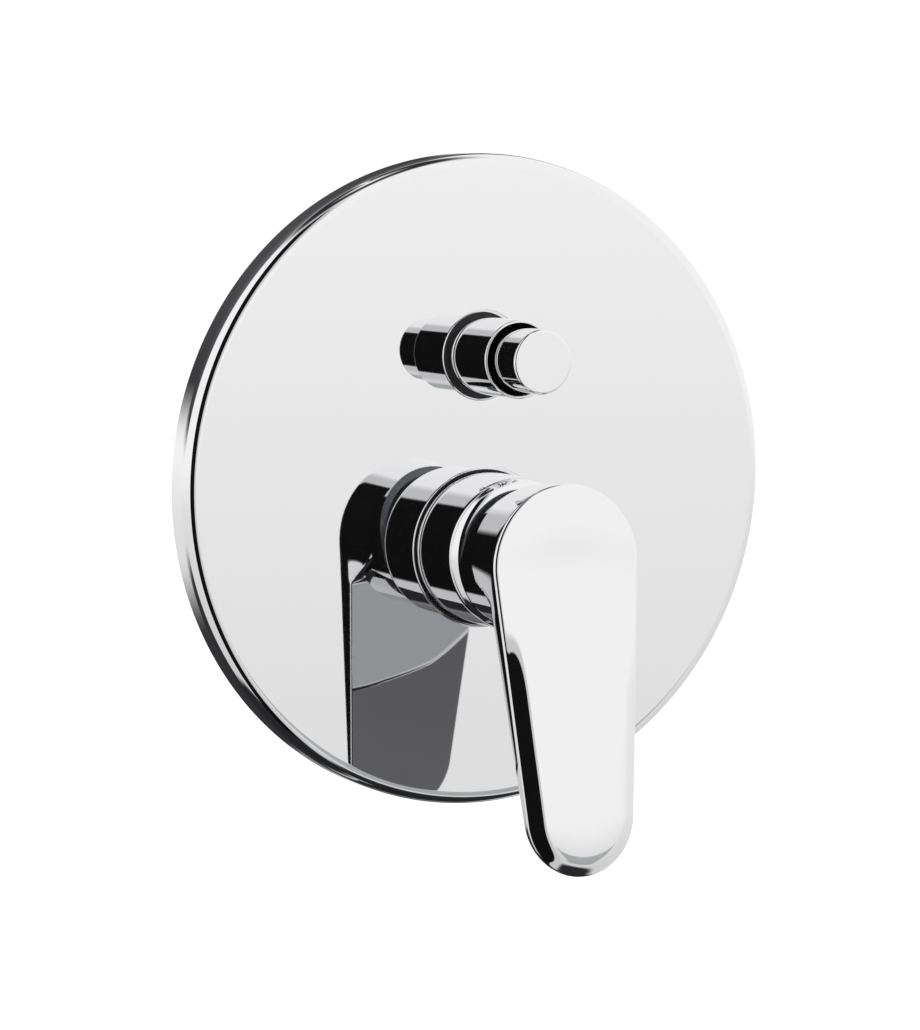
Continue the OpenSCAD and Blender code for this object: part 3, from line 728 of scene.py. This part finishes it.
def paddle_mesh():
    """Closed loft of the paddle."""
    half = paddle_outline()
    columns = [paddle_column(p, 1) for p in half] + [paddle_column(p, -1) for p in half[-2:0:-1]]
    count, steps = len(columns), len(columns[0])
    mesh = bpy.data.meshes.new("paddle")
    mesh.from_pydata([p for column in columns for p in column], [],
                     wall_faces(count, steps) + strip_faces(count, steps, len(half)))
    shape = bmesh.new()
    shape.from_mesh(mesh)
    bmesh.ops.recalc_face_normals(shape, faces=shape.faces)
    shape.to_mesh(mesh)
    shape.free()
    mesh.polygons.foreach_set("use_smooth", [True] * len(mesh.polygons))
    return mesh


# The lever's hub, joined to the paddle and cut for the stem, the grub screw and the plug

# How far a cutter runs past the face that it opens
OVERRUN = 1.0
# Distances within which points count as one, and as lying on a surface
SAME_POINT = 0.001 * MM
ON_SURFACE = 0.01 * MM
# Least agreement of a face's normal with the direction of the round wall that it may lie on
FACING = 0.8
# Round walls of the lever: a point on the axis, the two directions across it, and the radius
ROUND_WALLS = [((0, 0, 0), (1, 0, 1), r) for r in (HUB_R, HUB_BORE_R, BOSS_R)]
ROUND_WALLS += [((0, -SCREW_OUT, 0), (1, 1, 0), r) for r in (SCREW_R, SCREW_R + SCREW_PLAY, PLUG_R)]


def turned_solid(name, corners):
    """Closed solid of revolution about the lever's axis, from corners of (radius, height)."""
    s = Surface()
    s.revolve([straight(p, q) for p, q in zip(corners, corners[1:])], 0.0, HUB_TURNS)
    return s.build(name)


def hub_bar():
    front = PADDLE_FRONT - HUB_INSET
    return turned_solid("hub", [(0, front), (HUB_R, front), (HUB_R, HUB_REAR), (0, HUB_REAR)])


def bore_cutter():
    """Bore of the hub, with the stem boss left standing."""
    low = HUB_REAR - BOSS_R
    return turned_solid("cutter", [
        (0, BOSS_REAR), (BOSS_R, BOSS_REAR), (BOSS_R, HUB_BORE_END),
        (HUB_BORE_R, HUB_BORE_END), (HUB_BORE_R, low), (0, low),
    ])


def cutter(shape):
    mesh = bpy.data.meshes.new("cutter")
    shape.to_mesh(mesh)
    shape.free()
    return add_object("cutter", mesh)


def box_cutter(low, high, turn=Matrix()):
    """Box between two corners given as x, distance out of the wall and z, in millimetres."""
    shape = bmesh.new()
    bmesh.ops.create_cube(shape, size=1.0)
    for v in shape.verts:
        x, out, z = [a + (b - a) * (c + 0.5) for a, b, c in zip(low, high, v.co)]
        v.co = turn @ Vector((x, -out, z)) * MM
    bmesh.ops.reverse_faces(shape, faces=shape.faces)
    return cutter(shape)


def relief_cutter():
    """Cuts the hub's rear on a slant, so that it clears the sleeve when the lever lifts about its pin."""
    lifted = Matrix.Translation((0, -PIVOT_OUT, 0)) @ Matrix.Rotation(radians(LIFT), 4, "X")
    lifted = lifted @ Matrix.Translation((0, PIVOT_OUT, 0))
    wide = 2 * HUB_R
    return box_cutter((-wide, -HUB_R, -wide), (wide, HUB_REAR, wide), lifted)


def socket_cutter():
    """Square socket for the stem."""
    half = STEM_SIDE / 2
    return box_cutter((-half, HUB_REAR - OVERRUN, -half), (half, STEM_END, half))


def screw_cutter(radius, start, end):
    """Upright cylinder round the grub screw's axis, between two depths under the lever's axis."""
    shape = bmesh.new()
    middle = Matrix.Translation((0, -SCREW_OUT * MM, -(start + end) / 2 * MM))
    bmesh.ops.create_cone(shape, cap_ends=True, segments=SCREW_TURNS, radius1=radius * MM,
                          radius2=radius * MM, depth=(end - start) * MM, matrix=middle)
    return cutter(shape)


def evaluated_mesh(piece):
    """Plain mesh of a piece with its modifiers' result."""
    return bpy.data.meshes.new_from_object(piece.evaluated_get(bpy.context.evaluated_depsgraph_get()))


def combine(piece, others, operation):
    """Exact union or difference of closed objects; the others are used up."""
    group = bpy.data.collections.new("others")
    bpy.context.scene.collection.children.link(group)
    for other in others:
        group.objects.link(other)
    step = piece.modifiers.new("combine", "BOOLEAN")
    step.operand_type = "COLLECTION"
    step.collection = group
    step.operation = operation
    step.solver = "EXACT"
    piece.data = evaluated_mesh(piece)
    piece.modifiers.clear()
    for other in others:
        bpy.data.objects.remove(other)
    bpy.data.collections.remove(group)


def merge_doubles(mesh):
    shape = bmesh.new()
    shape.from_mesh(mesh)
    bmesh.ops.remove_doubles(shape, verts=shape.verts, dist=SAME_POINT)
    shape.to_mesh(mesh)
    shape.free()


def wall_normals(polygon, corners):
    """Corner normals and finish of a face on one of the round walls; nothing for any other face."""
    for centre, across, radius in ROUND_WALLS:
        arms = [(p - Vector(centre) * MM) * Vector(across) for p in corners]
        on_wall = all(abs(arm.length - radius * MM) < ON_SURFACE for arm in arms)
        if on_wall and abs(polygon.normal.dot(arms[0].normalized())) > FACING:
            sign = 1 if polygon.normal.dot(arms[0]) > 0 else -1
            return [arm.normalized() * sign for arm in arms], POLISHED if radius == HUB_R else DULL
    return None


def loft_normals(loft, tree, corners):
    """Corner normals of the smooth loft at the given points."""
    found = []
    for p in corners:
        ids = loft.polygons[tree.find_nearest(p)[2]].vertices
        weights = poly_3d_calc([loft.vertices[i].co for i in ids], p)
        blend = Vector()
        for i, weight in zip(ids, weights):
            blend += loft.vertices[i].normal * weight
        found.append(blend.normalized())
    return found


def finish_lever(mesh, loft):
    """Gives each corner the normal of its exact surface, and the cut faces the dull plating with its painted
    shade.
    """
    sides = [tuple(p.vertices) for p in loft.polygons]
    tree = BVHTree.FromPolygons([v.co for v in loft.vertices], sides)
    normals, finishes = [], []
    for polygon in mesh.polygons:
        corners = [mesh.vertices[i].co for i in polygon.vertices]
        found = wall_normals(polygon, corners)
        if found is None and tree.find_nearest(polygon.center)[3] < ON_SURFACE:
            found = loft_normals(loft, tree, corners), POLISHED
        if found is None:
            found = [polygon.normal.copy() for p in corners], DULL
        normals.extend(found[0])
        finishes.append(found[1])
    coat(mesh, finishes)
    mesh.normals_split_custom_set(normals)


def lever():
    """One-piece lever: the paddle on its round hub, with the relief, stem socket and screw hole."""
    loft = paddle_mesh()
    piece = add_object("lever_body", loft.copy())
    combine(piece, [hub_bar()], "UNION")
    combine(piece, [
        bore_cutter(),
        relief_cutter(),
        socket_cutter(),
        screw_cutter(SCREW_R, 0, HUB_R),
        screw_cutter(SCREW_R + SCREW_PLAY, BOSS_R, HUB_R + OVERRUN),
        screw_cutter(PLUG_R, HUB_R - PLUG_T, HUB_R + 2 * OVERRUN),
    ], "DIFFERENCE")
    merge_doubles(piece.data)
    finish_lever(piece.data, loft)
    return piece


# Pipe threads in the four sockets

# Mouth of each socket in millimetres, and the turn that points the thread's axis out of it
SOCKETS = [
    ((INLET_REACH, PIPE_DEPTH, 0.0), (0, pi / 2, 0)),
    ((-INLET_REACH, PIPE_DEPTH, 0.0), (0, -pi / 2, 0)),
    ((0.0, PIPE_DEPTH, TOP_REACH), (0, 0, 0)),
    ((0.0, PIPE_DEPTH, -BOTTOM_REACH), (pi, 0, 0)),
]
# Half-inch pipe thread, 14 turns to the inch
THREAD_SIZES = {"Radius": 9.75 * MM, "Pitch": 1.814 * MM, "Turns": 6.5, "Ridge": 0.9 * MM}
HELIX_STEPS = 64
RIDGE_SIDES = 3


def thread_tree():
    """Ridge swept along a helix from the socket's mouth inward, once for each socket."""
    tree = bpy.data.node_groups.new("pipe_thread", "GeometryNodeTree")
    tree.interface.new_socket("Geometry", in_out="INPUT", socket_type="NodeSocketGeometry")
    for name in THREAD_SIZES:
        tree.interface.new_socket(name, in_out="INPUT", socket_type="NodeSocketFloat")
    tree.interface.new_socket("Material", in_out="INPUT", socket_type="NodeSocketMaterial")
    tree.interface.new_socket("Geometry", in_out="OUTPUT", socket_type="NodeSocketGeometry")
    given = add_node(tree, "NodeGroupInput").outputs
    length = add_node(tree, "ShaderNodeMath", {"operation": "MULTIPLY"})
    tree.links.new(given["Pitch"], length.inputs[0])
    tree.links.new(given["Turns"], length.inputs[1])
    helix = add_node(tree, "GeometryNodeCurveSpiral", Resolution=HELIX_STEPS, Rotations=given["Turns"],
                     Start_Radius=given["Radius"], End_Radius=given["Radius"], Height=length.outputs[0])
    upright = add_node(tree, "GeometryNodeSetCurveNormal", {"mode": "Z_UP"}, Curve=helix.outputs[0])
    ridge = add_node(tree, "GeometryNodeCurvePrimitiveCircle", Resolution=RIDGE_SIDES,
                     Radius=given["Ridge"])
    sweep = add_node(tree, "GeometryNodeCurveToMesh", Curve=upright.outputs[0],
                     Profile_Curve=ridge.outputs[0], Fill_Caps=True)
    below = add_node(tree, "ShaderNodeMath", {"operation": "MULTIPLY"})
    tree.links.new(length.outputs[0], below.inputs[0])
    below.inputs[1].default_value = -1.0
    drop = add_node(tree, "ShaderNodeCombineXYZ", Z=below.outputs[0])
    inward = add_node(tree, "GeometryNodeTransform", Geometry=sweep.outputs[0],
                      Translation=drop.outputs[0])
    joined = add_node(tree, "GeometryNodeJoinGeometry")
    for mouth, turn in SOCKETS:
        placed = add_node(tree, "GeometryNodeTransform", Geometry=inward.outputs[0],
                          Translation=Vector(mouth) * MM, Rotation=turn)
        tree.links.new(placed.outputs[0], joined.inputs[0])
    real = add_node(tree, "GeometryNodeRealizeInstances", Geometry=joined.outputs[0])
    coated = add_node(tree, "GeometryNodeSetMaterial", Geometry=real.outputs[0],
                      Material=given["Material"])
    add_node(tree, "NodeGroupOutput", Geometry=coated.outputs[0])
    return tree


def socket_threads():
    """Half-inch pipe threads, cut in the casting's sockets."""
    piece = add_object("socket_threads", bpy.data.meshes.new("socket_threads"))
    step = piece.modifiers.new("thread", "NODES")
    step.node_group = thread_tree()
    values = dict(THREAD_SIZES, Material=SLOT_MATERIALS["turned_brass"])
    for socket in step.node_group.interface.items_tree:
        if socket.in_out == "INPUT" and socket.name in values:
            step[socket.identifier] = values[socket.name]
    result = evaluated_mesh(piece)
    piece.modifiers.clear()
    piece.data = result
    return piece


plate = cover_plate()
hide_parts("cover_plate")
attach(plate, "wall_body")
sleeve = lever_sleeve()
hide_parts("lever_sleeve")
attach(sleeve, "wall_body")
tube = diverter_sleeve()
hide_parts("diverter_sleeve")
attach(tube, "wall_body")
knob = diverter_knob()
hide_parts("diverter_knob")
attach(knob, "diverter")
handle = lever()
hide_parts("lever")
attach(handle, "lever")
threads = socket_threads()
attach(threads, "wall_body")


# Camera, fitted to the photograph's outlines; distances in metres

AZIMUTH, ELEVATION, ROLL = radians(28.0), radians(5.86), radians(-0.37)
DISTANCE, SHIFT_X, SHIFT_Y = 1.1165, 0.00213, 0.01012
FOCAL_PX, IMAGE_W = 4022, 920
SENSOR_W = 36
CLIP_END = 50


def photo_camera():
    """Camera at the photograph's place and angle, with the plate's centre in front of it."""
    ahead = Vector((sin(AZIMUTH) * cos(ELEVATION), cos(AZIMUTH) * cos(ELEVATION), -sin(ELEVATION)))
    level = Vector((cos(AZIMUTH), -sin(AZIMUTH), 0))
    above = level.cross(ahead)
    right = cos(ROLL) * level + sin(ROLL) * above
    up = -sin(ROLL) * level + cos(ROLL) * above
    place = Vector((0, 0, PLATE_RISE * MM)) - SHIFT_X * right - SHIFT_Y * up - DISTANCE * ahead
    lens = bpy.data.cameras.new("camera")
    lens.sensor_fit = "HORIZONTAL"
    lens.sensor_width = SENSOR_W
    lens.lens = FOCAL_PX / IMAGE_W * SENSOR_W
    lens.clip_end = CLIP_END
    camera = add_object("camera", lens)
    camera.matrix_world = Matrix((
        (right.x, up.x, -ahead.x, place.x),
        (right.y, up.y, -ahead.y, place.y),
        (right.z, up.z, -ahead.z, place.z),
        (0, 0, 0, 1),
    ))
    bpy.context.scene.camera = camera


# Studio: a white tent with a dark slot for the camera, a dark ceiling and dark screens low and behind

SCREEN_DISTANCE = 1.15
SCREEN_STEPS = 48
FLOOR_Z = -0.35
FLOOR_SIDE = 12.0
FLOOR_LIFT = 0.3

# What the mirrors see of the tent, by the sine of the elevation below the horizon
DIM_START = 0.17
DIM_END = 0.87
DIM_START_LIGHT = 0.83
DIM_END_LIGHT = 0.8


def screen_light():
    """Light whose colour and cover are kept at the screen's points; it is clear where the cover ends."""
    material = bpy.data.materials.new("screen_light")
    material.use_nodes = True
    tree = material.node_tree
    tree.nodes.clear()
    kept = add_node(tree, "ShaderNodeAttribute", {"attribute_name": "glow"})
    light = add_node(tree, "ShaderNodeEmission", Color=kept.outputs["Color"])
    clear = add_node(tree, "ShaderNodeBsdfTransparent")
    both = add_node(tree, "ShaderNodeMixShader")
    for socket, source in zip(both.inputs, (kept.outputs["Alpha"], clear.outputs[0], light.outputs[0])):
        tree.links.new(source, socket)
    add_node(tree, "ShaderNodeOutputMaterial", Surface=both.outputs[0])
    return material


def aim(azimuth, elevation):
    """Direction at an azimuth from straight ahead of the plate toward +X, and an elevation."""
    a, e = radians(azimuth), radians(elevation)
    return Vector((sin(a) * cos(e), -cos(a) * cos(e), sin(e)))


def screen(name, azimuths, elevations, low_colour, high_colour, fades, distance=SCREEN_DISTANCE):
    """Curved screen round the mixer that only mirrors see; it thins out over fades, in degrees."""
    steps = SCREEN_STEPS
    low, high = linear(low_colour), linear(high_colour)
    points, glow = [], []
    for i in range(steps + 1):
        for j in range(steps + 1):
            spots = [a + (b - a) * k / steps for (a, b), k in ((azimuths, j), (elevations, i))]
            points.append(aim(*spots) * distance)
            cover = 1.0
            for spot, limits, fade in zip(spots, (azimuths, elevations), fades):
                cover *= smooth_step(min(spot - limits[0], limits[1] - spot) / fade)
            glow.append([a + (b - a) * i / steps for a, b in zip(low[:3], high[:3])] + [cover])
    faces = []
    for i in range(steps):
        for j in range(steps):
            k = i * (steps + 1) + j
            faces.append((k, k + 1, k + steps + 2, k + steps + 1))
    mesh = bpy.data.meshes.new(name)
    mesh.from_pydata(points, [], faces)
    colours = mesh.color_attributes.new("glow", "FLOAT_COLOR", "POINT")
    colours.data.foreach_set("color", [c for colour in glow for c in colour])
    mesh.materials.append(glowing)
    piece = add_object(name, mesh)
    piece.visible_camera = False
    piece.visible_diffuse = False
    piece.visible_shadow = False


def tent_light():
    """White all round for the camera; the mirrors see it grow greyer below the horizon."""
    world = bpy.data.worlds.new("white_tent")
    bpy.context.scene.world = world
    world.use_nodes = True
    tree = world.node_tree
    tree.nodes.clear()
    direction = add_node(tree, "ShaderNodeTexCoord").outputs["Generated"]
    height = add_node(tree, "ShaderNodeSeparateXYZ", Vector=direction).outputs["Z"]
    near = add_node(tree, "ShaderNodeMapRange", Value=height, From_Min=-DIM_START, From_Max=0.0,
                    To_Min=DIM_START_LIGHT, To_Max=1.0)
    low = add_node(tree, "ShaderNodeMapRange", Value=height, From_Min=-DIM_END, From_Max=-DIM_START,
                   To_Min=DIM_END_LIGHT, To_Max=1.0)
    shade = add_node(tree, "ShaderNodeMath", {"operation": "MULTIPLY"})
    tree.links.new(near.outputs[0], shade.inputs[0])
    tree.links.new(low.outputs[0], shade.inputs[1])
    rays = add_node(tree, "ShaderNodeLightPath")
    strength = add_node(tree, "ShaderNodeMix", Factor=rays.outputs["Is Glossy Ray"])
    strength.inputs["A"].default_value = 1.0
    tree.links.new(shade.outputs[0], strength.inputs["B"])
    sky = add_node(tree, "ShaderNodeBackground", Color=linear("#FFFFFF"),
                   Strength=strength.outputs["Result"])
    add_node(tree, "ShaderNodeOutputWorld", Surface=sky.outputs[0])


def pale_floor():
    """Plain floor that shows white but keeps the mixer's shadow."""
    mesh = bpy.data.meshes.new("floor")
    half = FLOOR_SIDE / 2
    corners = [(x * half, y * half, FLOOR_Z) for x, y in ((-1, -1), (1, -1), (1, 1), (-1, 1))]
    mesh.from_pydata(corners, [], [(0, 1, 2, 3)])
    floor = add_object("floor", mesh)
    material, tree, shader = new_material("pale_floor")
    shader.inputs["Base Color"].default_value = linear("#F4F4F4")
    shader.inputs["Roughness"].default_value = 0.9
    shader.inputs["Emission Color"].default_value = linear("#FFFFFF")
    rays = add_node(tree, "ShaderNodeLightPath")
    lift = add_node(tree, "ShaderNodeMapRange", Value=rays.outputs["Is Camera Ray"],
                    To_Min=0.0, To_Max=FLOOR_LIFT)
    tree.links.new(lift.outputs[0], shader.inputs["Emission Strength"])
    mesh.materials.append(material)
    floor.visible_glossy = False


photo_camera()
tent_light()
pale_floor()
glowing = screen_light()
# Each screen's azimuths and elevations, its colours at the bottom and the top, and its soft borders
screen("camera_slot", (-45, -11.5), (-64, 64), "#101010", "#141414", (2, 4))
screen("slot_border", (-34, 3), (-64, 64), "#D0D0D1", "#D0D0D1", (8, 10), distance=1.2)
screen("front_low", (6, 48), (-44, -14), "#A8ACAC", "#B0B4B4", (8, 1.2), distance=1.2)
screen("ceiling", (-180, 180), (60, 90), "#3A3A3C", "#202022", (1, 12), distance=1.25)
screen("upper_back", (137, 261), (4, 70), "#303032", "#6C6C6E", (8, 10), distance=1.3)
screen("lower_back", (135, 168), (-64, -14), "#88888A", "#505052", (8, 10), distance=1.3)
screen("left_back", (160, 261), (-64, -14), "#262628", "#38383A", (8, 10), distance=1.25)
screen("floor_edge", (-180, 180), (-90, -50), "#202022", "#2C2C2E", (1, 5), distance=1.4)

bpy.context.scene.view_settings.view_transform = "Standard"
